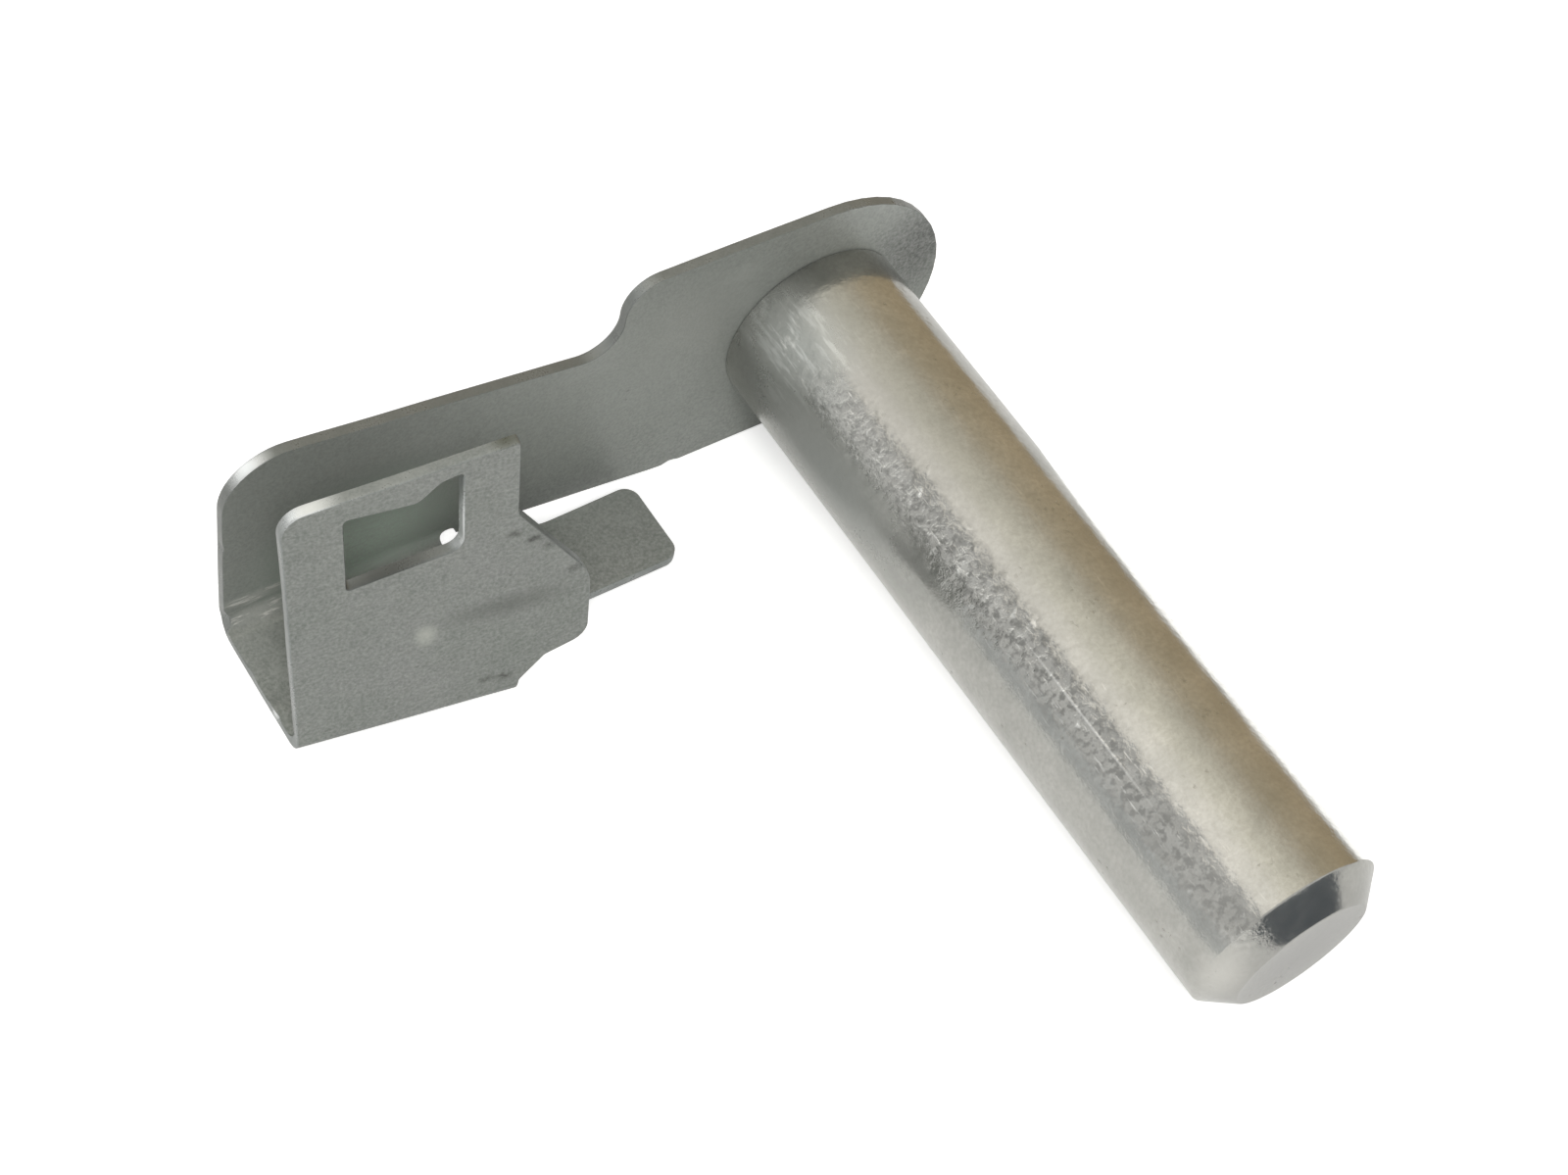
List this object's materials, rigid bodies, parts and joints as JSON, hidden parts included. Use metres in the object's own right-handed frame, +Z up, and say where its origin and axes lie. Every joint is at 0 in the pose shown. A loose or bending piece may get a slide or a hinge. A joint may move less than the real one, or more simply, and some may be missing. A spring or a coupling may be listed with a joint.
{
  "type": "shifter lock pin",
  "caption": "Round chamfered lock pin staked square into a folded sheet-metal clip, whose arm ends in an open channel with a windowed leg, a blunt nose and a short lanced tongue.",
  "frame": {"origin": "centre of the pin's flat free end, on the pin's axis", "axes": "+Y runs along the pin from its free end to the plate that it is staked into, +Z points up from the channel's floor to its open top, and the clip's arm runs to -X"},
  "size_m": [0.04, 0.0418, 0.0182],
  "materials": {
    "plated_steel": "bright zinc-plated turned steel, mottled and lightly scratched",
    "zinc_sheet": "matte zinc-plated sheet steel with a fine sandy grain and bright cut edges"
  },
  "bodies": {
    "root": {"lock_pin": "plated_steel", "clip_plate": "zinc_sheet"}
  },
  "joints": []
}
